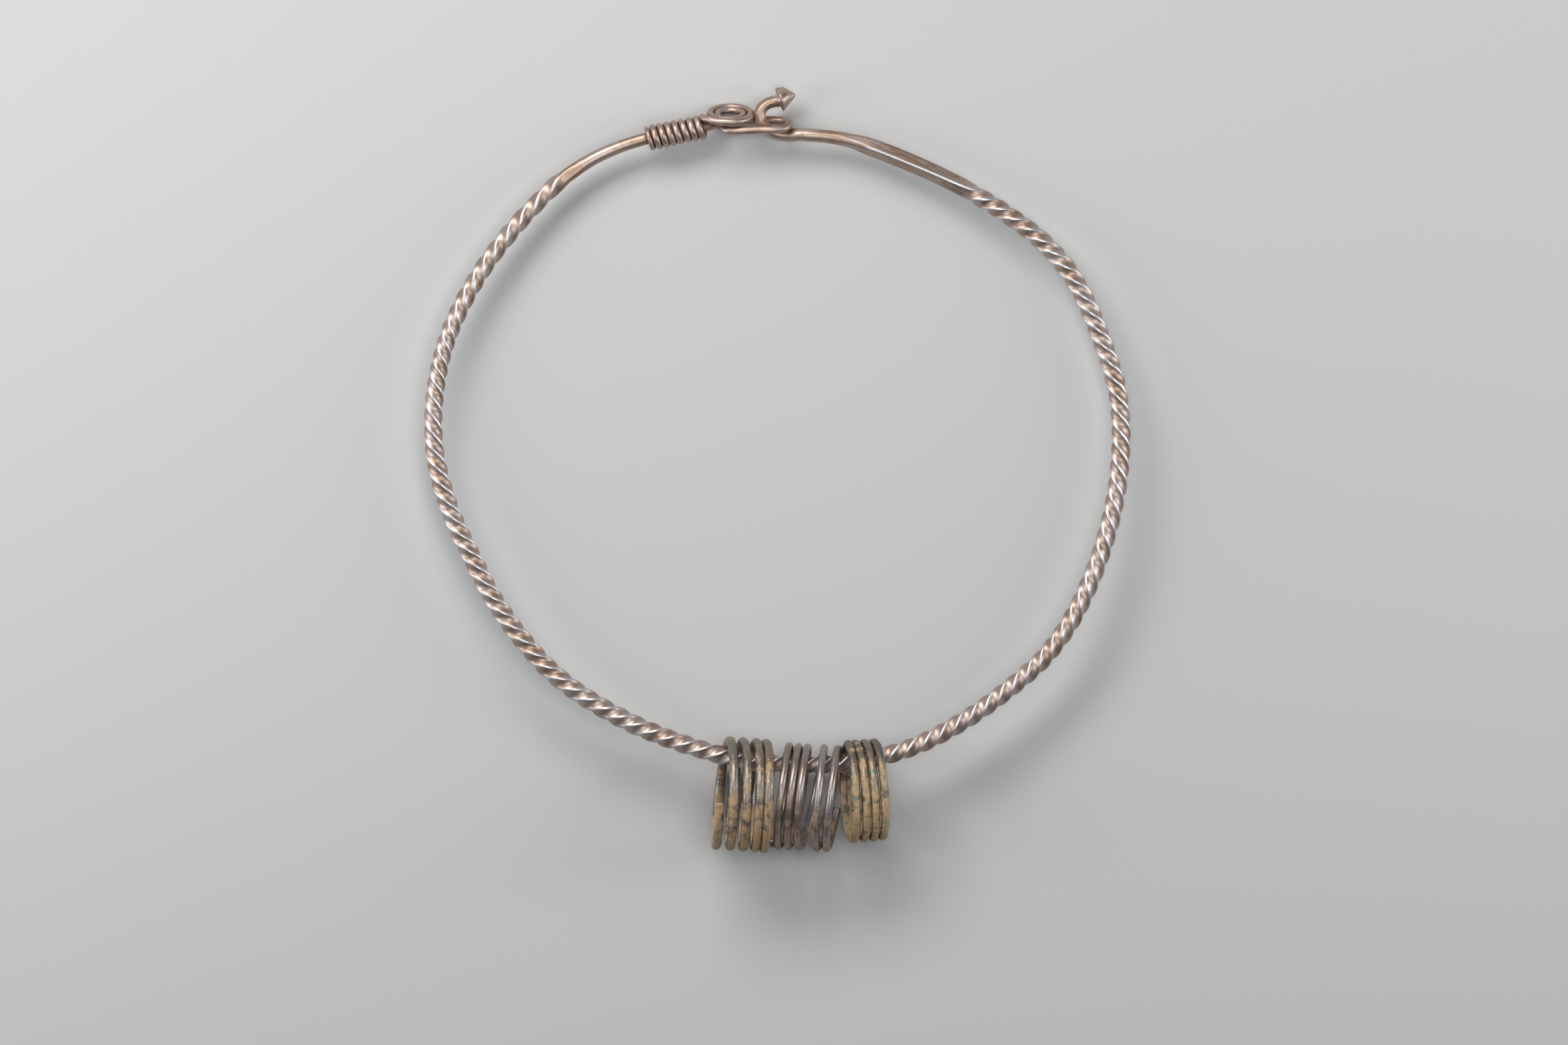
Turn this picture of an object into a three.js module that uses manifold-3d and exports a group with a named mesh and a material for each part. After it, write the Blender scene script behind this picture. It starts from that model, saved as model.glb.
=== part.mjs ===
// A silver torc with three coiled rings threaded on it. Millimetres, +Z up.
//
// The torc is one bar of silver. It starts in a faceted knob and a hook, runs round the hoop as a
// twisted square bar, is drawn out into a wire that makes the eye and a flat spiral, and ends
// wrapped round its own shank as a collar. The rings are loose coils of wire.
//
// Everything is worked out in the hoop's frame: the hoop lies in the XY plane round the origin,
// the clasp is at +Y, and +Z is the front. At the end the group is tipped so that it lies on the
// backs of the three rings and of the spiral, with the middle of its box over the origin.

import * as THREE from 'three';
import { mergeVertices } from 'three/addons/utils/BufferGeometryUtils.js';
import Module from 'manifold-3d';

const wasm = await Module();
wasm.setup();

const degrees = THREE.MathUtils.degToRad;

// ---- Driving dimensions ------------------------------------------------------------------------

const floorHeight = -11.9; // of the floor under the origin's side of the rings, in the hoop's frame
const floorReach = -74; // the Y at which the floor has that height
const lieAngle = degrees(2.58); // the hoop's rise from the clasp to the rings, as it lies
const boxCentre = { x: -0.2, y: -4.62 }; // of the torc and its rings, once it lies

// The knob, from its tip back to its base: distance from the base, rise off the axis, half diagonal.
const knobRings = [
  [3.55, 0.15, 0.3],
  [3.3, 0.2, 0.62],
  [1.7, 0.62, 2.0],
  [0.15, 0.2, 2.6],
  [0, 0.15, 2.56],
  [-0.12, 0, 1.32],
];
const knobBase = new THREE.Vector3(0.25, 73.45, 0.3);
const knobRise = degrees(19); // of its axis above +X
const knobLeanBack = degrees(10); // of its axis behind the hoop's plane

// The hook's middle line, from the knob round to the shank.
const hookPoints = [
  [-1.1, 73.25, 0.4],
  [-2.35, 72.8, 0.5],
  [-3.4, 71.95, 0.6],
  [-3.92, 70.8, 0.6],
  [-3.85, 69.6, 0.5],
  [-3.2, 68.25, 0.3],
  [-1.75, 67.0, -0.3],
  [0, 66.35, -0.7],
  [2.4, 66.15, -0.75],
];

// The hoop's middle line, clockwise from the hook: degrees from +X, distance from the centre.
const hoopPoints = [
  [86, 66.4], [80, 66.7], [75, 66.7], [65, 66.55], [55, 67.45], [45, 69.25], [38, 70.9],
  [30, 72.0], [20, 72.1], [8, 72.75], [-5, 72.25], [-18, 71.8], [-30, 71.9], [-38, 71.65],
  [-45, 70.7], [-55, 69.85], [-65, 69.4], [-75, 68.5], [-85, 67.3], [-95, 66.5], [-105, 65.85],
  [-120, 66.15], [-135, 67.4], [-150, 68.1], [-160, 68.8], [-170, 70.85], [-180, 72.8],
  [-190, 73.6], [-200, 73.7], [-213, 73.0], [-228, 72.85], [-236, 72.75], [-242, 72.05],
  [-247.3, 71.13],
];

// The bar: distance along the hoop, half diagonal, half the angle that a corner's land takes up,
// and turns of twist per millimetre.
const barProfile = [
  [-30, 1.38, degrees(17), 0],
  [-14, 1.3, degrees(17), 0],
  [-8, 1.38, degrees(17), 0],
  [0, 1.42, degrees(20), 0],
  [7, 1.45, degrees(19), 0],
  [11, 1.58, degrees(16), 0],
  [15, 2.0, degrees(9), 0],
  [20, 2.05, degrees(8), 0],
  [24, 2.02, degrees(8), 0],
  [34, 1.98, degrees(8), 0.008],
  [37, 2.0, degrees(8), 0.014],
  [40, 2.03, degrees(8), 0.06],
  [42, 2.05, degrees(8), 0.0665],
  [60, 2.1, degrees(8.5), 0.0665],
  [130, 2.12, degrees(8.5), 0.067],
  [160, 2.06, degrees(7), 0.067],
  [190, 2.03, degrees(6.5), 0.067],
  [230, 2.04, degrees(6.5), 0.067],
  [250, 2.15, degrees(7.5), 0.067],
  [315, 2.13, degrees(8), 0.067],
  [330, 2.05, degrees(8), 0.067],
  [336, 2.02, degrees(8), 0.083],
  [345, 2.0, degrees(8), 0.083],
  [352, 2.0, degrees(8), 0.069],
  [374, 2.0, degrees(8), 0.056],
  [386, 1.9, degrees(10), 0.048],
  [391, 1.7, degrees(15), 0],
  [395, 1.48, degrees(19), 0],
  [402, 1.35, degrees(22), 0],
  [409, 1.32, degrees(22), 0],
];
const hookStep = 1.25; // between two sections of the sweep
const plainStep = 3.5;
const twistStep = 1.5;

// The collar's axis, from the end by the spiral to the end by the hoop.
const collarStart = new THREE.Vector3(-15.6, 67.98, 0);
const collarEnd = new THREE.Vector3(-27.35, 65.5, 0);
// The collar's wire: turns made, distance along the axis, radius of the wire's middle line.
const collarTurns = [
  [0, 0, 1.95],
  [0.75, 1.13, 1.95],
  [1.75, 2.69, 1.94],
  [2.75, 4.3, 1.93],
  [3.75, 5.95, 1.93],
  [4.75, 7.48, 1.96],
  [5.75, 9.0, 2.01],
  [6.75, 10.58, 2.06],
  [7.75, 11.96, 2.14],
  [8.05, 12.25, 2.2],
];

// The eye and the spiral share a tipped plane through this point, the eye's middle.
const eyeMiddle = new THREE.Vector3(0, 68.28, 0);
const eyeTip = degrees(20.7); // of the plane's front edge, downwards
const eyeHalfDepth = 2.88;
// In that plane: X, distance to the front, height towards the outside.
const eyePoints = [
  [-14, -1.0, -0.3],
  [-12, -2.15, -0.25],
  [-9.5, -2.8, -0.05],
  [-5, -eyeHalfDepth, 0],
  [-0.6, -eyeHalfDepth, 0.05],
  [1.45, -2.04, 0.15],
  [2.3, 0, 0.28],
  [1.45, 2.04, 0.15],
  [-0.6, eyeHalfDepth, 0.02],
  [-5, 2.98, 0],
  [-8.6, 3.15, -0.15],
  [-10.5, 2.95, -0.2],
  [-11.6, 1.9, -0.1],
  [-12.25, 0.7, 0.45],
  [-12.8, -0.45, 1.35],
];
const spiralMiddle = new THREE.Vector3(-10.22, -0.84, 2.05); // in the same plane
// The spiral's turns: degrees from +X towards the front, radius.
const spiralPoints = [
  [205, 2.82], [270, 2.82], [360, 2.82], [450, 2.88], [495, 3.45], [540, 4.2], [585, 4.6],
  [630, 4.8], [720, 4.42], [810, 4.68],
];
const linkPoints = [
  [-13.0, 3.45, 2.05],
  [-14.9, 2.4, 2.2],
  [-15.95, 0.9, 2.0],
];
// The drawn wire: share of its length from the collar's far end to the cut end, radius.
const wireProfile = [
  [0, 1.13],
  [0.06, 1.13],
  [0.1, 0.98],
  [0.14, 0.9],
  [0.235, 0.88],
  [0.265, 0.68],
  [0.32, 0.66],
  [0.36, 0.8],
  [0.45, 0.84],
  [0.51, 0.76],
  [0.85, 0.74],
  [0.93, 0.7],
  [0.97, 0.58],
  [1, 0.42],
];
const wireStep = 1.6;
const spiralStep = 35; // degrees between two points of the spiral

// The coiled rings. Each turn's place is where its front passes, along the ring's own axis; the
// first and the last stand for turns that are cut short. The wire runs from one angle to the
// other, in degrees from the top over the front, and the second place is passed at 90 degrees.
// lean, swing and slope are how far the coil goes sideways per millimetre of height, sideways per
// millimetre of depth and up per millimetre of width.
const coilSteps = 14;
const coils = [
  {
    name: 'left_coil_ring',
    colour: 0x9c8b74,
    roughness: 0.72,
    metalness: 0.55,
    middle: [-6.3, -73.4, 0.05],
    radius: 11.05,
    wire: 1.02,
    turns: [-6.9, -3.9, -1.1, 1.6, 3.45, 5.6],
    from: -260,
    to: 1320,
    lean: 0.065,
    swing: 0.078,
    slope: -0.07,
  },
  {
    name: 'middle_coil_ring',
    colour: 0x8f8a86,
    roughness: 0.45,
    metalness: 0.85,
    middle: [6.0, -73.9, -0.7],
    radius: 10.5,
    wire: 0.84,
    turns: [-6.4, -4.85, -2.75, -0.9, 3.1, 5.65, 6.5],
    from: -165,
    to: 1698,
    lean: 0.15,
    swing: -0.068,
    slope: -0.05,
  },
  {
    name: 'right_coil_ring',
    colour: 0x9d8b6b,
    roughness: 0.78,
    metalness: 0.45,
    middle: [18.2, -72.5, -1.1],
    radius: 10.0,
    wire: 0.9,
    turns: [-2.85, -3.09, -0.95, 1.0, 2.95, 5.0],
    from: -188,
    to: 1350,
    lean: -0.043,
    swing: 0.126,
    slope: 0.08,
  },
];

// ---- Sweeping a bar along a path ---------------------------------------------------------------

// A value from a table whose rows start with the distance, straight between its rows.
function along(table, distance, column) {
  const next = table.findIndex((row) => row[0] > distance);
  if (next === 0) return table[0][column];
  if (next < 0) return table[table.length - 1][column];
  const [before, after] = [table[next - 1], table[next]];
  const share = (distance - before[0]) / (after[0] - before[0]);
  return THREE.MathUtils.lerp(before[column], after[column], share);
}

// The middle line through hand-placed points, walked in steps that depend on how far along it is.
function walk(points, stepAt, start = 0) {
  const curve = new THREE.CatmullRomCurve3(points);
  const divisionsPerPoint = 40;
  curve.arcLengthDivisions = points.length * divisionsPerPoint;
  const length = curve.getLength();
  const stops = [];
  for (let gone = 0; gone < length; gone += stepAt(gone + start)) {
    stops.push({ distance: gone + start, share: gone / length, point: curve.getPointAt(gone / length) });
  }
  return stops;
}

// A direction across the path at every station, carried along it without turning round it.
function carriedNormals(stations, tangents, firstNormal) {
  const normal = firstNormal.clone();
  return tangents.map((tangent, index) => {
    if (index > 0) {
      const turn = new THREE.Quaternion().setFromUnitVectors(tangents[index - 1], tangent);
      normal.applyQuaternion(turn);
    }
    normal.addScaledVector(tangent, -normal.dot(tangent)).normalize();
    return normal.clone();
  });
}

// An eight-cornered bar through the stations, closed at both ends. A station holds its point,
// radius, the half angle of its four lands (22.5 degrees makes it a regular octagon) and its twist.
// Without lands the section stays a regular octagon.
function sweep(stations, firstNormal) {
  const corners = Array.from({ length: 8 }, (_, i) => {
    const angle = degrees(22.5 + 45 * i);
    return new THREE.Vector2(Math.cos(angle), Math.sin(angle));
  });
  const steps = stations.length - 1;
  const geometry = new THREE.ExtrudeGeometry(new THREE.Shape(corners), {
    depth: steps, steps, bevelEnabled: false,
  });
  const tangents = stations.map(({ facing }, index) => {
    if (facing) return facing;
    const before = stations[Math.max(index - 1, 0)].point;
    const after = stations[Math.min(index + 1, steps)].point;
    return after.clone().sub(before).normalize();
  });
  const normals = carriedNormals(stations, tangents, firstNormal);
  const position = geometry.getAttribute('position');
  for (let i = 0; i < position.count; i += 1) {
    const index = Math.round(position.getZ(i));
    const { point, radius, land = degrees(22.5), twist = 0 } = stations[index];
    const angle = Math.atan2(position.getY(i), position.getX(i));
    const quarter = Math.round(angle / degrees(90)) * degrees(90);
    const around = quarter + Math.sign(angle - quarter) * land + twist;
    const side = new THREE.Vector3().crossVectors(tangents[index], normals[index]);
    const vertex = point.clone()
      .addScaledVector(normals[index], radius * Math.cos(around))
      .addScaledVector(side, radius * Math.sin(around));
    position.setXYZ(i, vertex.x, vertex.y, vertex.z);
  }
  return geometry;
}

// ---- Solids ------------------------------------------------------------------------------------

function toSolid(geometry) {
  const bare = geometry.clone();
  bare.deleteAttribute('normal');
  bare.deleteAttribute('uv');
  const weldDistance = 1e-5;
  const merged = mergeVertices(bare, weldDistance);
  return new wasm.Manifold(new wasm.Mesh({
    numProp: 3,
    vertProperties: new Float32Array(merged.getAttribute('position').array),
    triVerts: new Uint32Array(merged.getIndex().array),
  }));
}

function toGeometry(solid) {
  const { vertProperties, triVerts } = solid.getMesh();
  const geometry = new THREE.BufferGeometry();
  geometry.setAttribute('position', new THREE.BufferAttribute(vertProperties, 3));
  geometry.setIndex(new THREE.BufferAttribute(triVerts, 1));
  geometry.computeVertexNormals();
  return geometry;
}

// The ground that the torc lies on, as a slab in the hoop's frame. It leaves the small flat spots.
function groundSlab() {
  const width = 400;
  const thickness = 20;
  const slab = new THREE.BoxGeometry(width, width, thickness);
  slab.translate(0, 0, -thickness / 2);
  slab.rotateX(lieAngle);
  slab.translate(0, floorReach, floorHeight);
  return slab;
}

const ground = toSolid(groundSlab());

function flattenUnderneath(geometry) {
  return toGeometry(toSolid(geometry).subtract(ground));
}

// ---- The torc ----------------------------------------------------------------------------------

function knobStations() {
  const axis = new THREE.Vector3(
    Math.cos(knobLeanBack) * Math.cos(knobRise),
    Math.cos(knobLeanBack) * Math.sin(knobRise),
    -Math.sin(knobLeanBack),
  );
  const rise = new THREE.Vector3(-Math.sin(knobRise), Math.cos(knobRise), 0);
  return knobRings.map(([distance, lift, radius]) => ({
    point: knobBase.clone().addScaledVector(axis, distance).addScaledVector(rise, lift),
    facing: axis.clone().negate(),
    radius,
    land: degrees(6),
  }));
}

function hoopPoint([angle, distance]) {
  return new THREE.Vector3(distance * Math.cos(degrees(angle)), distance * Math.sin(degrees(angle)), 0);
}

// The hook, the hoop and the shank up to the collar. Distances count from the hook's foot.
function barStations() {
  const hook = hookPoints.map((xyz) => new THREE.Vector3(...xyz));
  const hookLength = new THREE.CatmullRomCurve3([...hook, hoopPoint(hoopPoints[0])]).getLength();
  const stepAt = (distance) => {
    if (distance < 0) return hookStep;
    const twisting = along(barProfile, distance, 3) > 0 || along(barProfile, distance + plainStep, 3) > 0;
    return twisting ? twistStep : plainStep;
  };
  let twist = 0;
  let last = -hookLength;
  return walk([...hook, ...hoopPoints.map(hoopPoint)], stepAt, -hookLength).map(({ distance, point }) => {
    twist += along(barProfile, (distance + last) / 2, 3) * (distance - last) * 2 * Math.PI;
    last = distance;
    return {
      point,
      radius: along(barProfile, distance, 1),
      land: along(barProfile, distance, 2),
      twist: -twist,
    };
  });
}

// From the tipped plane of the eye and the spiral into the hoop's frame.
function fromEyePlane(x, forward, outward) {
  return new THREE.Vector3(
    x,
    outward * Math.cos(eyeTip) - forward * Math.sin(eyeTip),
    outward * Math.sin(eyeTip) + forward * Math.cos(eyeTip),
  ).add(eyeMiddle);
}

function spiralPath() {
  const points = [];
  const [first, last] = [spiralPoints[0][0], spiralPoints[spiralPoints.length - 1][0]];
  for (let angle = first; angle <= last; angle += spiralStep) {
    const radius = along(spiralPoints, angle, 1);
    points.push(fromEyePlane(
      spiralMiddle.x + radius * Math.cos(degrees(angle)),
      spiralMiddle.y + radius * Math.sin(degrees(angle)),
      spiralMiddle.z,
    ));
  }
  return points;
}

// The wire wrapped round the shank: over the top to the back, and away from the spiral.
function collarPath() {
  const axis = collarEnd.clone().sub(collarStart).normalize();
  const up = new THREE.Vector3(axis.y, -axis.x, 0);
  const back = new THREE.Vector3(0, 0, -1);
  const pointsPerTurn = 8;
  const lastTurn = collarTurns[collarTurns.length - 1][0];
  const count = Math.round(lastTurn * pointsPerTurn);
  return Array.from({ length: count + 1 }, (_, i) => {
    const turn = i / pointsPerTurn;
    const radius = along(collarTurns, turn, 2);
    return collarStart.clone()
      .addScaledVector(axis, along(collarTurns, turn, 1))
      .addScaledVector(up, radius * Math.cos(degrees(360 * turn)))
      .addScaledVector(back, radius * Math.sin(degrees(360 * turn)));
  });
}

// The shank inside the collar, the eye, the spiral and the wrapped collar, as one drawn wire.
function wireStations() {
  const points = [
    collarEnd.clone().lerp(collarStart, 0.08),
    collarEnd.clone().lerp(collarStart, 0.5),
    collarStart,
    ...eyePoints.map((xyz) => fromEyePlane(...xyz)),
    ...spiralPath(),
    ...linkPoints.map((xyz) => fromEyePlane(...xyz)),
    ...collarPath(),
  ];
  return walk(points, () => wireStep).map(({ share, point }) => ({
    point,
    radius: along(wireProfile, share, 1),
  }));
}

function torcGeometry() {
  const bar = barStations();
  const { twist } = bar[bar.length - 1];
  const wire = wireStations().map((station) => ({ ...station, twist }));
  const stations = [...knobStations(), ...bar, ...wire];
  return flattenUnderneath(sweep(stations, new THREE.Vector3(0, 0, 1)));
}

// ---- The coiled rings --------------------------------------------------------------------------

function coilGeometry({ middle, radius, wire, turns, from, to, lean, swing, slope }) {
  const places = turns.map((place, index) => [360 * index - 270, place]);
  const count = Math.ceil((to - from) / 360 * coilSteps);
  const stations = Array.from({ length: count + 1 }, (_, i) => {
    const angle = from + (to - from) * i / count;
    const across = along(places, angle, 1);
    const up = radius * Math.cos(degrees(angle));
    const forward = radius * Math.sin(degrees(angle));
    const point = new THREE.Vector3(across + lean * up + swing * forward, up + slope * across, forward);
    return { point: point.add(new THREE.Vector3(...middle)), radius: wire };
  });
  return flattenUnderneath(sweep(stations, new THREE.Vector3(1, 0, 0)));
}

// ---- The group ---------------------------------------------------------------------------------

function piece(name, geometry, color, roughness, metalness) {
  const mesh = new THREE.Mesh(geometry, new THREE.MeshStandardMaterial({ color, roughness, metalness }));
  mesh.name = name;
  return mesh;
}

const group = new THREE.Group();
group.add(piece('torc', torcGeometry(), 0xa39589, 0.38, 0.95));
for (const coil of coils) {
  group.add(piece(coil.name, coilGeometry(coil), coil.colour, coil.roughness, coil.metalness));
}

group.rotation.x = -lieAngle;
const floorPoint = new THREE.Vector3(0, floorReach, floorHeight).applyEuler(group.rotation);
group.position.set(-boxCentre.x, -boxCentre.y, -floorPoint.z);

export default group;
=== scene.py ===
# A silver torc with three coiled rings threaded on it, lying on a pale floor. Lengths here are in
# millimetres in the hoop's own frame, as in the part's source, until place() turns them into metres
# in the row frame.

import math

import bpy
import numpy as np
from mathutils import Matrix, Quaternion, Vector
from mathutils.bvhtree import BVHTree


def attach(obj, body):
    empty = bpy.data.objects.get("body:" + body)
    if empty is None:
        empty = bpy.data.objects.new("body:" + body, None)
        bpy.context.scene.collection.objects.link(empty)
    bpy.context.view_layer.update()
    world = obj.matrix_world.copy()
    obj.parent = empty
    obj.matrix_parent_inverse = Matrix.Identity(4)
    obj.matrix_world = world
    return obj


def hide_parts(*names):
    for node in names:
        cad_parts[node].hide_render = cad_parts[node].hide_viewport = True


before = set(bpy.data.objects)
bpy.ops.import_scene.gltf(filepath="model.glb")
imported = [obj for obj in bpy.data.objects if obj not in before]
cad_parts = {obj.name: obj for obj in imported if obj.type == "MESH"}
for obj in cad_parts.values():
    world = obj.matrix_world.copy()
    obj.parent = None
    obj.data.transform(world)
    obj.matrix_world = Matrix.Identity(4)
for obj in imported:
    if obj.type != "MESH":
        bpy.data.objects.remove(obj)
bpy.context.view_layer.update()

rad = math.radians

# ---- The part's own dimensions -------------------------------------------------------------------

LIE = rad(2.58)
FLOOR_HEIGHT, FLOOR_REACH = -11.9, -74.0
BOX_CENTRE = (-0.2, -4.62)

# Distance out from the knob's base, rise, radius.
KNOB_RINGS = np.array([
    (3.55, 0.15, 0.3), (3.3, 0.2, 0.62), (1.7, 0.62, 2.0), (0.15, 0.2, 2.6), (0, 0.15, 2.56),
    (-0.12, 0, 1.32),
])
KNOB_BASE = (0.25, 73.45, 0.3)
KNOB_RISE, KNOB_LEAN = rad(19), rad(10)
HOOK = [
    (-1.1, 73.25, 0.4), (-2.35, 72.8, 0.5), (-3.4, 71.95, 0.6), (-3.92, 70.8, 0.6), (-3.85, 69.6, 0.5),
    (-3.2, 68.25, 0.3), (-1.75, 67.0, -0.3), (0, 66.35, -0.7), (2.4, 66.15, -0.75),
]
HOOP = [
    (86, 66.4), (80, 66.7), (75, 66.7), (65, 66.55), (55, 67.45), (45, 69.25), (38, 70.9),
    (30, 72.0), (20, 72.1), (8, 72.75), (-5, 72.25), (-18, 71.8), (-30, 71.9), (-38, 71.65),
    (-45, 70.7), (-55, 69.85), (-65, 69.4), (-75, 68.5), (-85, 67.3), (-95, 66.5), (-105, 65.85),
    (-120, 66.15), (-135, 67.4), (-150, 68.1), (-160, 68.8), (-170, 70.85), (-180, 72.8),
    (-190, 73.6), (-200, 73.7), (-213, 73.0), (-228, 72.85), (-236, 72.75), (-242, 72.05),
    (-247.3, 71.13),
]
# Distance, half diagonal, half angle of a corner's land in degrees, turns of twist a millimetre.
BAR = np.array([
    (-30, 1.38, 17, 0), (-14, 1.3, 17, 0), (-8, 1.38, 17, 0), (0, 1.42, 20, 0), (7, 1.45, 19, 0),
    (11, 1.58, 16, 0), (15, 2.0, 9, 0), (20, 2.05, 8, 0), (24, 2.02, 8, 0), (34, 1.98, 8, 0.008),
    (37, 2.0, 8, 0.014), (40, 2.03, 8, 0.06), (42, 2.05, 8, 0.0665), (60, 2.1, 8.5, 0.0665),
    (130, 2.12, 8.5, 0.067), (160, 2.06, 7, 0.067), (190, 2.03, 6.5, 0.067), (230, 2.04, 6.5, 0.067),
    (250, 2.15, 7.5, 0.067), (315, 2.13, 8, 0.067), (330, 2.05, 8, 0.067), (336, 2.02, 8, 0.083),
    (345, 2.0, 8, 0.083), (352, 2.0, 8, 0.069), (374, 2.0, 8, 0.056), (386, 1.9, 10, 0.048),
    (391, 1.7, 15, 0), (395, 1.48, 19, 0), (402, 1.35, 22, 0), (409, 1.32, 22, 0),
])
COLLAR_START, COLLAR_END = np.array((-15.6, 67.98, 0)), np.array((-27.35, 65.5, 0))
# The collar's turns, their place along its axis and the radius of the wire's middle line.
COLLAR = np.array([
    (0, 0, 1.95), (0.75, 1.13, 1.95), (1.75, 2.69, 1.94), (2.75, 4.3, 1.93), (3.75, 5.95, 1.93),
    (4.75, 7.48, 1.96), (5.75, 9.0, 2.01), (6.75, 10.58, 2.06), (7.75, 11.96, 2.14), (8.05, 12.25, 2.2),
])
EYE_MIDDLE, EYE_TIP = np.array((0, 68.28, 0)), rad(20.7)
EYE = [
    (-14, -1.0, -0.3), (-12, -2.15, -0.25), (-9.5, -2.8, -0.05), (-5, -2.88, 0), (-0.6, -2.88, 0.05),
    (1.45, -2.04, 0.15), (2.3, 0, 0.28), (1.45, 2.04, 0.15), (-0.6, 2.88, 0.02), (-5, 2.98, 0),
    (-8.6, 3.15, -0.15), (-10.5, 2.95, -0.2), (-11.6, 1.9, -0.1), (-12.25, 0.7, 0.45),
    (-12.8, -0.45, 1.35),
]
SPIRAL_MIDDLE = (-10.22, -0.84, 2.05)
SPIRAL = np.array([
    (205, 2.82), (270, 2.82), (360, 2.82), (450, 2.88), (495, 3.45), (540, 4.2), (585, 4.6),
    (630, 4.8), (720, 4.42), (810, 4.68),
])
SPIRAL_STEP = 35
LINK = [(-13.0, 3.45, 2.05), (-14.9, 2.4, 2.2), (-15.95, 0.9, 2.0)]
# Share of the drawn wire's length, radius.
WIRE = np.array([
    (0, 1.13), (0.06, 1.13), (0.1, 0.98), (0.14, 0.9), (0.235, 0.88), (0.265, 0.68), (0.32, 0.66),
    (0.36, 0.8), (0.45, 0.84), (0.51, 0.76), (0.85, 0.74), (0.93, 0.7), (0.97, 0.58), (1, 0.42),
])
# Middle, radius, wire radius, places of the turns, first and last angle, lean, swing, slope.
COILS = {
    "left_coil_ring": (
        (-6.3, -73.4, 0.05), 11.05, 1.02, (-6.9, -3.9, -1.1, 1.6, 3.45, 5.6), -260, 1320,
        0.065, 0.078, -0.07,
    ),
    "middle_coil_ring": (
        (6.0, -73.9, -0.7), 10.5, 0.84, (-6.4, -4.85, -2.75, -0.9, 3.1, 5.65, 6.5), -165, 1698,
        0.15, -0.068, -0.05,
    ),
    "right_coil_ring": (
        (18.2, -72.5, -1.1), 10.0, 0.9, (-2.85, -3.09, -0.95, 1.0, 2.95, 5.0), -188, 1350,
        -0.043, 0.126, 0.08,
    ),
}

# ---- From the hoop's frame into the row frame ----------------------------------------------------

LIFT = FLOOR_REACH * math.sin(LIE) - FLOOR_HEIGHT * math.cos(LIE)


def place(points):
    """Millimetres in the hoop's frame to metres in the row frame."""
    x, y, z = np.moveaxis(np.asarray(points, float), -1, 0)
    return 0.001 * np.stack([
        x - BOX_CENTRE[0],
        y * math.cos(LIE) + z * math.sin(LIE) - BOX_CENTRE[1],
        -y * math.sin(LIE) + z * math.cos(LIE) + LIFT,
    ], axis=-1)


# ---- Paths and sweeps ----------------------------------------------------------------------------

def walk(points, step):
    """A centripetal spline through the points, in even steps. Returns the points and their distances."""
    p = np.asarray(points, float)
    p = np.vstack([2 * p[0] - p[1], p, 2 * p[-1] - p[-2]])
    gap = np.maximum(np.linalg.norm(np.diff(p, axis=0), axis=1), 1e-4) ** 0.5
    x0, x1, x2, x3 = p[:-3], p[1:-2], p[2:-1], p[3:]
    d0, d1, d2 = gap[:-2, None], gap[1:-1, None], gap[2:, None]
    t1 = ((x1 - x0) / d0 - (x2 - x0) / (d0 + d1) + (x2 - x1) / d1) * d1
    t2 = ((x2 - x1) / d1 - (x3 - x1) / (d1 + d2) + (x3 - x2) / d2) * d1
    c2, c3 = 3 * (x2 - x1) - 2 * t1 - t2, 2 * (x1 - x2) + t1 + t2

    def at(u):
        k = np.minimum(u.astype(int), len(x1) - 1)
        t = (u - k)[:, None]
        return x1[k] + t * (t1[k] + t * (c2[k] + t * c3[k]))

    u = np.linspace(0, len(x1), len(x1) * 60 + 1)
    gone = np.concatenate([[0], np.cumsum(np.linalg.norm(np.diff(at(u), axis=0), axis=1))])
    stops = np.linspace(0, gone[-1], max(2, round(gone[-1] / step)) + 1)
    return at(np.interp(stops, gone, u)), stops


def carried(points, first, facing=None):
    """Tangent, normal and binormal at every station, the normal carried along without turning."""
    tangents = np.gradient(points, axis=0)
    tangents /= np.linalg.norm(tangents, axis=1)[:, None]
    if facing is not None:
        tangents[: len(facing)] = facing
    normal, normals, last = Vector(first), [], None
    for t in map(Vector, tangents):
        if last is not None:
            normal = last.rotation_difference(t) @ normal
        normal = (normal - t * normal.dot(t)).normalized()
        normals.append(normal[:])
        last = t
    normals = np.array(normals)
    return tangents, normals, np.cross(tangents, normals)


def section(radius, land, around, crisp=34):
    """Radius of a square bar with cut corners towards each angle, nearly round where the lands meet."""
    r, l = radius[:, None], np.radians(land)[:, None]
    total = 0
    for k in range(8):
        reach = r * np.cos(l) if k % 2 == 0 else r * np.cos(rad(45) - l)
        total = total + (np.maximum(np.cos(around - rad(45) * k), 1e-3) / reach) ** crisp
    flat = total ** (-1 / crisp)
    share = np.clip((np.degrees(l) - 13) / 9, 0, 1)
    share = share * share * (3 - 2 * share)
    return flat * (1 - share) + 0.985 * r * share


def swept(points, frames, radii, around, twist):
    """Ring vertices round every station, (stations, ring, 3)."""
    _, normals, sides = frames
    turn = around + twist[:, None]
    return (
        points[:, None, :]
        + normals[:, None, :] * (radii * np.cos(turn))[..., None]
        + sides[:, None, :] * (radii * np.sin(turn))[..., None]
    )


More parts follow.
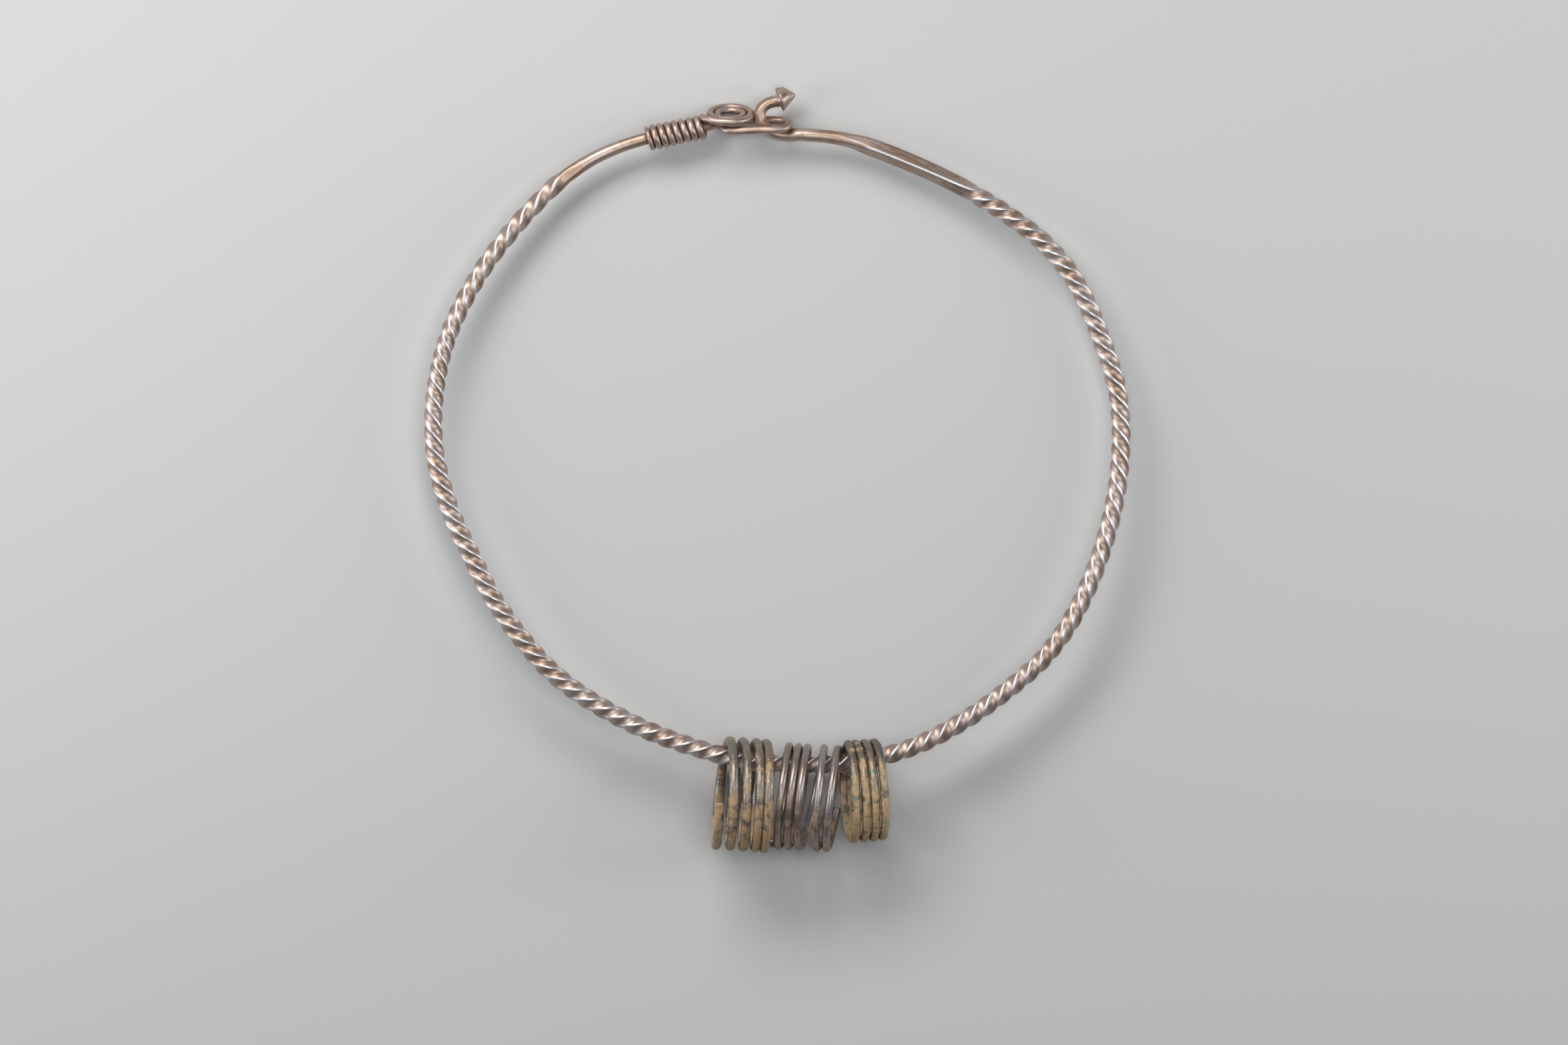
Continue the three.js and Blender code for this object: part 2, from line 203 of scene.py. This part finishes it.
def value_noise(points, size, seed):
    """Smooth noise from -1 to 1, with lumps about size across."""
    p = points / size + 1000.5
    base = np.floor(p).astype(np.int64)
    t = p - base
    t = t * t * t * (t * (6 * t - 15) + 10)
    total = 0
    for dx in (0, 1):
        for dy in (0, 1):
            for dz in (0, 1):
                h = (base[..., 0] + dx) * 374761393 + (base[..., 1] + dy) * 668265263
                h = (h + (base[..., 2] + dz) * 1442695041 + seed * 1274126177) & 0xFFFFFFFF
                h = ((h ^ (h >> 13)) * 1103515245) & 0xFFFFFFFF
                h = ((h ^ (h >> 15)) * 747796405) & 0xFFFFFFFF
                h = h ^ (h >> 16)
                weight = (
                    (t[..., 0] if dx else 1 - t[..., 0])
                    * (t[..., 1] if dy else 1 - t[..., 1])
                    * (t[..., 2] if dz else 1 - t[..., 2])
                )
                total = total + weight * ((h & 0xFFFF) / 32767.5 - 1)
    return total


# ---- Meshes --------------------------------------------------------------------------------------

occluders = []
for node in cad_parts.values():
    shape = node.data
    occluders.append(BVHTree.FromPolygons(
        [node.matrix_world @ v.co for v in shape.vertices],
        [tuple(p.vertices) for p in shape.polygons],
    ))

DIRECTIONS = []
for k in range(14):
    height = 1 - (k + 0.5) / 14 * 0.92
    turn = k * 2.39996
    flat = math.sqrt(1 - height * height)
    DIRECTIONS.append(Vector((flat * math.cos(turn), flat * math.sin(turn), height)))


def crowding(points, normals, reach=2.6, clear=0.3):
    """How shut in each point is by the metal round it, 0 to about 1. Metres in, reach in mm."""
    reach, clear = reach * 0.001, clear * 0.001
    found = np.zeros(len(points))
    for i, (p, n) in enumerate(zip(points, normals)):
        n = Vector(n)
        start = Vector(p) + n * clear
        turn = n.to_track_quat("Z", "Y")
        total = 0
        for d in DIRECTIONS:
            way = turn @ d
            nearest = reach
            for tree in occluders:
                hit = tree.ray_cast(start, way, nearest)
                if hit[0] is not None:
                    nearest = hit[3]
            total += 1 - nearest / reach
        found[i] = total / len(DIRECTIONS)
    return found


def tube(name, rings, masks, material, node):
    """A closed mesh from rings of vertices, with the masks as point attributes."""
    count, around = rings.shape[:2]
    flat = place(rings.reshape(-1, 3))
    flat[:, 2] = np.maximum(flat[:, 2], 0)
    caps = np.array([flat[:around].mean(axis=0), flat[-around:].mean(axis=0)])
    vertices = np.vstack([flat, caps])
    i = np.arange(count - 1)[:, None] * around
    j = np.arange(around)[None, :]
    k = (j + 1) % around
    quads = np.stack([i + j, i + k, i + around + k, i + around + j], axis=-1).reshape(-1, 4)
    first, last = count * around, count * around + 1
    end = (count - 1) * around
    faces = quads.tolist()
    faces += [(first, (m + 1) % around, m) for m in range(around)]
    faces += [(last, end + m, end + (m + 1) % around) for m in range(around)]
    mesh = bpy.data.meshes.new(name)
    mesh.from_pydata(vertices.tolist(), [], faces)
    mesh.polygons.foreach_set("use_smooth", np.ones(len(faces), bool))
    for key, values in masks.items():
        values = np.asarray(values, float)
        kind = "FLOAT_VECTOR" if values.ndim == 3 else "FLOAT"
        field = "vector" if values.ndim == 3 else "value"
        made = mesh.attributes.new(key, kind, "POINT")
        shape = values.reshape(count * around, -1)
        padded = np.vstack([shape, shape[:1], shape[-1:]])
        made.data.foreach_set(field, padded.ravel())
    mesh.update()
    piece = bpy.data.objects.new(name, mesh)
    bpy.context.collection.objects.link(piece)
    piece.data.materials.append(material)
    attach(piece, "root")
    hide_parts(node)
    return piece


# The crowding is turned into painted shade: the materials darken the colour where nearby metal shuts a
# point in.
def crevice_shade(rings, wanted=None):
    """The crowding at every ring vertex, or only at the wanted stations, the mask for the painted shade
    in the crevices.
    """
    count, around = rings.shape[:2]
    along = np.gradient(rings, axis=0)
    across = np.roll(rings, -1, axis=1) - np.roll(rings, 1, axis=1)
    normals = np.cross(across, along)
    normals /= np.maximum(np.linalg.norm(normals, axis=2), 1e-9)[..., None]
    outwards = rings - rings.mean(axis=1)[:, None, :]
    normals *= np.sign((normals * outwards).sum(axis=2))[..., None]
    tilt = np.array(Matrix.Rotation(-LIE, 3, "X"))
    normals = normals @ tilt.T
    found = np.zeros((count, around))
    rows = np.arange(count) if wanted is None else np.flatnonzero(wanted)
    points = place(rings[rows].reshape(-1, 3))
    found[rows] = crowding(points, normals[rows].reshape(-1, 3)).reshape(len(rows), around)
    for _ in range(2):
        found = (np.roll(found, 1, axis=1) + 2 * found + np.roll(found, -1, axis=1)) / 4
        found[1:-1] = (found[:-2] + 2 * found[1:-1] + found[2:]) / 4
    return found


# ---- Materials -----------------------------------------------------------------------------------

class Finish:
    """A node material built by name."""

    def __init__(self, name):
        self.material = bpy.data.materials.new(name)
        self.material.use_nodes = True
        self.tree = self.material.node_tree
        self.tree.nodes.clear()
        self.output = self.tree.nodes.new("ShaderNodeOutputMaterial")
        self.shader = self.tree.nodes.new("ShaderNodeBsdfPrincipled")
        self.tree.links.new(self.shader.outputs[0], self.output.inputs[0])
        self.space = self.tree.nodes.new("ShaderNodeTexCoord").outputs["Object"]

    def feed(self, socket, value):
        if isinstance(value, bpy.types.NodeSocket):
            self.tree.links.new(value, socket)
        elif isinstance(value, tuple) and len(value) == 3 and len(socket.default_value) == 4:
            socket.default_value = (*value, 1)
        else:
            socket.default_value = value

    def mask(self, name):
        node = self.tree.nodes.new("ShaderNodeAttribute")
        node.attribute_name = name
        return node.outputs["Fac"]

    def vector(self, name):
        node = self.tree.nodes.new("ShaderNodeAttribute")
        node.attribute_name = name
        return node.outputs["Vector"]

    def math(self, kind, a, b=0.0, clamp=False):
        node = self.tree.nodes.new("ShaderNodeMath")
        node.operation, node.use_clamp = kind, clamp
        self.feed(node.inputs[0], a)
        self.feed(node.inputs[1], b)
        return node.outputs[0]

    def stretch(self, vector, scale):
        node = self.tree.nodes.new("ShaderNodeMapping")
        self.feed(node.inputs["Vector"], vector)
        node.inputs["Scale"].default_value = scale
        return node.outputs[0]

    def noise(self, size, detail=3.0, rough=0.55, vector=None, seed=0.0):
        """Noise with lumps about size millimetres across."""
        node = self.tree.nodes.new("ShaderNodeTexNoise")
        node.noise_dimensions = "4D"
        self.feed(node.inputs["Vector"], vector or self.space)
        node.inputs["W"].default_value = seed
        node.inputs["Scale"].default_value = 1000 / size if vector is None else 1 / size
        node.inputs["Detail"].default_value = detail
        node.inputs["Roughness"].default_value = rough
        return node.outputs["Fac"]

    def step(self, value, low, high, start=0.0, end=1.0):
        """value carried from low..high to start..end, held at both ends, eased."""
        node = self.tree.nodes.new("ShaderNodeMapRange")
        node.interpolation_type = "SMOOTHSTEP"
        self.feed(node.inputs["Value"], value)
        for key, number in zip(("From Min", "From Max", "To Min", "To Max"), (low, high, start, end)):
            node.inputs[key].default_value = number
        return node.outputs["Result"]

    def mix(self, share, a, b):
        node = self.tree.nodes.new("ShaderNodeMix")
        node.data_type = "RGBA"
        self.feed(node.inputs["Factor"], share)
        self.feed(node.inputs[6], a)
        self.feed(node.inputs[7], b)
        return node.outputs[2]

    def blend(self, share, a, b):
        node = self.tree.nodes.new("ShaderNodeMix")
        node.data_type = "FLOAT"
        self.feed(node.inputs["Factor"], share)
        self.feed(node.inputs[2], a)
        self.feed(node.inputs[3], b)
        return node.outputs[0]

    def bump(self, height, depth, strength=1.0, under=None):
        """depth in millimetres for a height of 1."""
        node = self.tree.nodes.new("ShaderNodeBump")
        node.inputs["Strength"].default_value = strength
        node.inputs["Distance"].default_value = depth * 0.001
        self.feed(node.inputs["Height"], height)
        if under is not None:
            self.feed(node.inputs["Normal"], under)
        return node.outputs[0]

    def done(self, **sockets):
        for key, value in sockets.items():
            self.feed(self.shader.inputs[key.replace("_", " ")], value)
        return self.material


def torc_silver():
    f = Finish("torc_silver")
    ridge, crevice_shade_mask = f.mask("ridge"), f.mask("crevice_shade")
    run = f.vector("run")
    streaks = f.noise(1.0, 4, 0.6, f.stretch(run, (0.25, 2.2, 2.2)), 3)
    hairs = f.noise(1.0, 3, 0.6, f.stretch(run, (0.6, 9, 9)), 9)
    patches = f.noise(8, 5, 0.62, seed=1)
    spots = f.noise(1.3, 4, 0.65, seed=5)
    fine = f.noise(0.4, 3, 0.6, seed=7)
    body = f.mix(f.step(patches, 0.36, 0.64), (0.46, 0.365, 0.325), (0.37, 0.25, 0.18))
    body = f.mix(f.step(streaks, 0.44, 0.72, 0, 0.55), body, (0.60, 0.53, 0.51))
    body = f.mix(f.step(spots, 0.52, 0.74, 0, 0.65), body, (0.24, 0.125, 0.06))
    body = f.mix(f.step(hairs, 0.55, 0.78, 0, 0.3), body, (0.25, 0.15, 0.09))
    uneven = f.math("MULTIPLY", f.math("SUBTRACT", spots, 0.5), 0.5)
    worn = f.step(f.math("ADD", ridge, uneven), 0.5, 1.1)
    body = f.mix(worn, body, (0.66, 0.65, 0.68))
    # Painted shade: near black brown, rougher and less metallic where nearby metal shuts the surface in,
    # broken up by fine noise.
    shade_jitter = f.math("MULTIPLY", f.math("SUBTRACT", fine, 0.5), 0.2)
    painted_shade = f.step(f.math("ADD", crevice_shade_mask, shade_jitter), 0.06, 0.42)
    body = f.mix(painted_shade, body, (0.17, 0.075, 0.028))
    rough = f.step(streaks, 0.3, 0.7, 0.38, 0.50)
    rough = f.blend(worn, rough, 0.34)
    rough = f.blend(painted_shade, rough, 0.75)
    metal = f.blend(painted_shade, 0.94, 0.3)
    normal = f.bump(streaks, 0.03, 0.5)
    normal = f.bump(spots, 0.03, 0.6, normal)
    normal = f.bump(fine, 0.02, 0.5, normal)
    return f.done(Base_Color=body, Metallic=metal, Roughness=rough, Normal=normal)


def crusted(
    name, base, other, crust, dark, green, seed, crust_share, green_share, rough_low, rough_high, depth,
):
    """Tarnished wire with patches of crust, dark spots, specks of green and painted shade where the
    metal is shut in.
    """
    f = Finish(name)
    crevice_shade_mask = f.mask("crevice_shade")
    broad = f.noise(6, 4, 0.6, seed=seed)
    patches = f.noise(2.2, 4, 0.62, seed=seed + 1)
    grain = f.noise(0.5, 4, 0.65, seed=seed + 2)
    specks = f.noise(1.1, 3, 0.6, seed=seed + 3)
    low = f.mask("low")
    body = f.mix(f.step(broad, 0.36, 0.64), base, other)
    crusty = f.step(f.math("ADD", patches, f.math("MULTIPLY", low, 0.12)), *crust_share)
    body = f.mix(crusty, body, crust)
    body = f.mix(f.step(grain, 0.54, 0.72, 0, 0.75), body, dark)
    body = f.mix(f.step(specks, *green_share), body, green)
    # Painted shade: dark brown, rougher and less metallic where nearby metal shuts the wire in, broken
    # up by the grain.
    shade_jitter = f.math("MULTIPLY", f.math("SUBTRACT", grain, 0.5), 0.25)
    painted_shade = f.step(f.math("ADD", crevice_shade_mask, shade_jitter), 0.10, 0.60)
    body = f.mix(painted_shade, body, (0.095, 0.052, 0.026))
    metal = f.blend(crusty, 0.85, 0.1)
    metal = f.blend(painted_shade, metal, 0.1)
    rough = f.blend(crusty, rough_low, rough_high)
    normal = f.bump(patches, depth, 0.9)
    normal = f.bump(grain, depth * 0.6, 0.9, normal)
    return f.done(Base_Color=body, Metallic=metal, Roughness=rough, Normal=normal)


MATERIALS = {
    "torc": torc_silver(),
    "left_coil_ring": crusted(
        "left_coil_silver", (0.22, 0.20, 0.19), (0.33, 0.25, 0.175), (0.42, 0.275, 0.15),
        (0.055, 0.045, 0.038), (0.11, 0.21, 0.145), 11, (0.44, 0.60), (0.62, 0.69), 0.36, 0.82, 0.16),
    "middle_coil_ring": crusted(
        "middle_coil_silver", (0.34, 0.305, 0.30), (0.27, 0.20, 0.165), (0.32, 0.20, 0.125),
        (0.10, 0.075, 0.065), (0.20, 0.19, 0.16), 31, (0.52, 0.72), (0.74, 0.80), 0.38, 0.6, 0.05),
    "right_coil_ring": crusted(
        "right_coil_silver", (0.15, 0.14, 0.14), (0.31, 0.24, 0.16), (0.46, 0.315, 0.175),
        (0.045, 0.04, 0.038), (0.10, 0.21, 0.15), 51, (0.41, 0.55), (0.59, 0.68), 0.42, 0.85, 0.20),
}

# ---- The torc ------------------------------------------------------------------------------------

def hoop_point(angle, distance):
    return (distance * math.cos(rad(angle)), distance * math.sin(rad(angle)), 0.0)


def column(table, at, index):
    return np.interp(at, table[:, 0], table[:, index])


KNOB_WEAR = 22.0
QUARTER = np.radians([0, 4.5, 9, 15, 23, 34, 56, 67, 75, 81, 85.5])


def make_bar():
    hook_length = walk([*HOOK, hoop_point(*HOOP[0])], 0.5)[1][-1]
    path, stops = walk([*HOOK, *(hoop_point(*h) for h in HOOP)], 0.25)
    at = stops - hook_length
    turns = column(BAR, at, 3)
    twist = -2 * math.pi * np.concatenate([[0], np.cumsum((turns[1:] + turns[:-1]) / 2 * np.diff(at))])
    radius, land = column(BAR, at, 1), column(BAR, at, 2)
    axis = np.array((
        math.cos(KNOB_LEAN) * math.cos(KNOB_RISE),
        math.cos(KNOB_LEAN) * math.sin(KNOB_RISE),
        -math.sin(KNOB_LEAN),
    ))
    rise = np.array((-math.sin(KNOB_RISE), math.cos(KNOB_RISE), 0))
    # The knob's flanks get rings of their own between the named ones.
    marks = np.concatenate([np.linspace(a, b, n, endpoint=False) for a, b, n in (
        (3.55, 3.3, 3), (3.3, 1.7, 7), (1.7, 0.15, 7), (0.15, 0, 3), (0, -0.12, 2))] + [[-0.12]])
    lift = np.interp(-marks, -KNOB_RINGS[:, 0], KNOB_RINGS[:, 1])
    wide = np.interp(-marks, -KNOB_RINGS[:, 0], KNOB_RINGS[:, 2])
    knob = np.array(KNOB_BASE) + marks[:, None] * axis + lift[:, None] * rise
    points = np.vstack([knob, path])
    facing = np.tile(-axis, (len(knob), 1))
    frames = carried(points, (0, 0, 1), facing)
    around = np.concatenate([QUARTER + rad(90) * q for q in range(4)])[None, :]
    radius = np.concatenate([wide, radius])
    land = np.concatenate([np.full(len(knob), 6.0), land])
    twist = np.concatenate([np.zeros(len(knob)), twist])
    at = np.concatenate([np.full(len(knob), at[0]) - marks, at])
    radii = section(radius, land, around)
    # The knob's front ridge is worn nearly round.
    front = np.clip(np.cos(around), 0, 1) * (np.arange(len(at)) < len(knob))[:, None]
    radii = radii * (1 - front) + section(radius, np.full(len(at), KNOB_WEAR), around) * front
    plain = swept(points, frames, radii, around, twist)
    # Worn, slightly uneven metal: shallow hollows, and soft dents along the ridges.
    corner = np.abs((around + rad(45)) % rad(90) - rad(45))
    ridge = np.clip(1 - (np.degrees(corner) - land[:, None]) / 9, 0, 1)
    sunk = 0.02 * value_noise(plain, 4.2, 1)
    dents = np.clip(value_noise(plain, 1.9, 3) - 0.4, 0, 1) * 0.12 * ridge
    radii = radii + np.where(radius[:, None] > 1.0, sunk - dents - 0.02, 0)
    rings = swept(points, frames, radii, around, twist)
    near = (at < 18) | (at > 392) | ((at > 192) & (at < 250))
    run = np.stack([
        np.broadcast_to(at[:, None], radii.shape),
        np.broadcast_to(around, radii.shape) * 1.6,
        np.zeros(radii.shape),
    ], axis=-1)
    crest = ridge * np.clip((14 - land[:, None]) / 5, 0, 1) * (np.arange(len(at)) >= len(knob))[:, None]
    # The crowding mask here becomes painted shade in the material.
    masks = {"ridge": crest, "crevice_shade": crevice_shade(rings, near), "run": run}
    return tube("torc_bar", rings, masks, MATERIALS["torc"], "torc")


def from_eye_plane(p):
    x, forward, outward = p
    return EYE_MIDDLE + np.array((
        x,
        outward * math.cos(EYE_TIP) - forward * math.sin(EYE_TIP),
        outward * math.sin(EYE_TIP) + forward * math.cos(EYE_TIP),
    ))


def make_wire():
    spiral = [
        from_eye_plane((
            SPIRAL_MIDDLE[0] + column(SPIRAL, a, 1) * math.cos(rad(a)),
            SPIRAL_MIDDLE[1] + column(SPIRAL, a, 1) * math.sin(rad(a)),
            SPIRAL_MIDDLE[2],
        ))
        for a in range(205, 811, SPIRAL_STEP)
    ]
    axis = COLLAR_END - COLLAR_START
    up = -np.array((-axis[1], axis[0], 0)) / np.linalg.norm(axis)
    back = np.array((0, 0, -1))
    axis = axis / np.linalg.norm(axis)
    collar = [
        COLLAR_START + axis * column(COLLAR, k / 8, 1)
        + column(COLLAR, k / 8, 2) * (up * math.cos(rad(45 * k)) + back * math.sin(rad(45 * k)))
        for k in range(round(COLLAR[-1, 0] * 8) + 1)
    ]
    path, stops = walk([
        COLLAR_END + (COLLAR_START - COLLAR_END) * 0.08,
        COLLAR_END + (COLLAR_START - COLLAR_END) * 0.5,
        COLLAR_START,
        *(from_eye_plane(p) for p in EYE),
        *spiral,
        *(from_eye_plane(p) for p in LINK),
        *collar,
    ], 0.3)
    radius = column(WIRE, stops / stops[-1], 1) * 0.985
    around = np.radians(np.arange(28) * 360 / 28)[None, :]
    frames = carried(path, (0, 0, 1))
    radii = np.broadcast_to(radius[:, None], (len(path), 28))
    rings = swept(path, frames, radii, around, np.zeros(len(path)))
    radii = radii + 0.02 * value_noise(rings, 2.0, 4) + 0.012 * value_noise(rings, 0.8, 5) - 0.01
    rings = swept(path, frames, radii, around, np.zeros(len(path)))
    run = np.stack([
        np.broadcast_to(stops[:, None], radii.shape),
        np.broadcast_to(around, radii.shape),
        np.zeros(radii.shape),
    ], axis=-1)
    # The crowding mask here becomes painted shade in the material.
    masks = {"ridge": np.zeros(radii.shape), "crevice_shade": crevice_shade(rings), "run": run}
    return tube("torc_wire", rings, masks, MATERIALS["torc"], "torc")


def make_coil(name, rough, lump, seed):
    middle, radius, wire, turns, begin, end, lean, swing, slope = COILS[name]
    count = round((end - begin) / 360 * 2 * math.pi * radius / 0.32)
    angle = np.linspace(begin, end, count + 1)
    across = np.interp(angle, [360 * k - 270 for k in range(len(turns))], turns)
    up, forward = radius * np.cos(np.radians(angle)), radius * np.sin(np.radians(angle))
    path = np.stack([across + lean * up + swing * forward, up + slope * across, forward], axis=1)
    path = path + middle
    around = np.radians(np.arange(26) * 360 / 26)[None, :]
    frames = carried(path, (1, 0, 0))
    radii = np.full((len(path), 26), wire * 0.975)
    rings = swept(path, frames, radii, around, np.zeros(len(path)))
    lumps = lump * value_noise(rings, 2.2, seed) + rough * value_noise(rings, 0.9, seed + 1)
    radii = radii + np.minimum(lumps, 0.5 * (lump + rough))
    rings = swept(path, frames, radii, around, np.zeros(len(path)))
    run = np.stack([
        np.broadcast_to(angle[:, None] / 57.3 * radius, radii.shape),
        np.broadcast_to(around * wire, radii.shape),
        np.zeros(radii.shape),
    ], axis=-1)
    low = np.clip((middle[1] - rings[..., 1]) / radius, -1, 1)
    # The crowding mask here becomes painted shade in the material.
    masks = {"low": low, "crevice_shade": crevice_shade(rings), "run": run}
    return tube(name + "_wire", rings, masks, MATERIALS[name], name)


make_bar()
make_wire()
make_coil("left_coil_ring", 0.05, 0.05, 21)
make_coil("middle_coil_ring", 0.012, 0.02, 31)
make_coil("right_coil_ring", 0.06, 0.06, 41)

# ---- Floor, light and camera ---------------------------------------------------------------------

FLOOR, FLOOR_DROP = 30.0, -0.0001
floor_mesh = bpy.data.meshes.new("floor")
floor_mesh.from_pydata(
    [(x * FLOOR, y * FLOOR, FLOOR_DROP) for x, y in ((-1, -1), (1, -1), (1, 1), (-1, 1))],
    [], [(0, 1, 2, 3)],
)
floor = bpy.data.objects.new("floor", floor_mesh)
bpy.context.collection.objects.link(floor)
paint = bpy.data.materials.new("floor_paint")
paint.use_nodes = True
paint.node_tree.nodes["Principled BSDF"].inputs["Base Color"].default_value = (0.50, 0.50, 0.495, 1)
paint.node_tree.nodes["Principled BSDF"].inputs["Roughness"].default_value = 0.9
floor_mesh.materials.append(paint)

world = bpy.data.worlds.new("studio")
bpy.context.scene.world = world
world.use_nodes = True
world.node_tree.nodes["Background"].inputs["Color"].default_value = (0.72, 0.75, 0.8, 1)
world.node_tree.nodes["Background"].inputs["Strength"].default_value = 0.2


def softbox(name, place_at, aim, width, height, power, colour):
    light = bpy.data.lights.new(name, "AREA")
    light.shape, light.size, light.size_y = "RECTANGLE", width, height
    light.energy, light.color = power, colour
    box = bpy.data.objects.new(name, light)
    box.location = place_at
    box.rotation_mode = "QUATERNION"
    box.rotation_quaternion = (Vector(aim) - Vector(place_at)).to_track_quat("-Z", "Y")
    box.visible_camera = False
    bpy.context.collection.objects.link(box)


softbox("key", (-0.2, 0.42, 0.42), (0, 0.01, 0), 0.5, 0.22, 3.2, (1, 0.975, 0.94))
softbox("top", (0.12, 0.0, 0.8), (0, 0, 0), 0.3, 0.3, 1.7, (1, 0.99, 0.97))
softbox("side_left", (-0.5, 0.0, 0.2), (0, 0, 0), 0.14, 0.4, 1.2, (0.85, 0.92, 1))
softbox("side_right", (0.5, 0.05, 0.2), (0, 0, 0), 0.14, 0.4, 1.1, (0.92, 0.96, 1))

# The camera looks square on to the hoop from far off. Millimetres in the hoop's plane.
FRAME_WIDTH = 331.773
VIEW_MIDDLE = (1.1985, -15.792)
AWAY = 4000.0
SENSOR = 36.0
camera_data = bpy.data.cameras.new("camera")
camera = bpy.data.objects.new("camera", camera_data)
bpy.context.collection.objects.link(camera)
camera.location = Vector(place((*VIEW_MIDDLE, AWAY)))
camera.rotation_mode = "QUATERNION"
camera.rotation_quaternion = Quaternion((1, 0, 0), -LIE)
camera_data.sensor_width = SENSOR
camera_data.lens = SENSOR * AWAY / FRAME_WIDTH
camera_data.clip_start, camera_data.clip_end = 0.1, 100
bpy.context.scene.camera = camera
bpy.context.scene.view_settings.view_transform = "Standard"
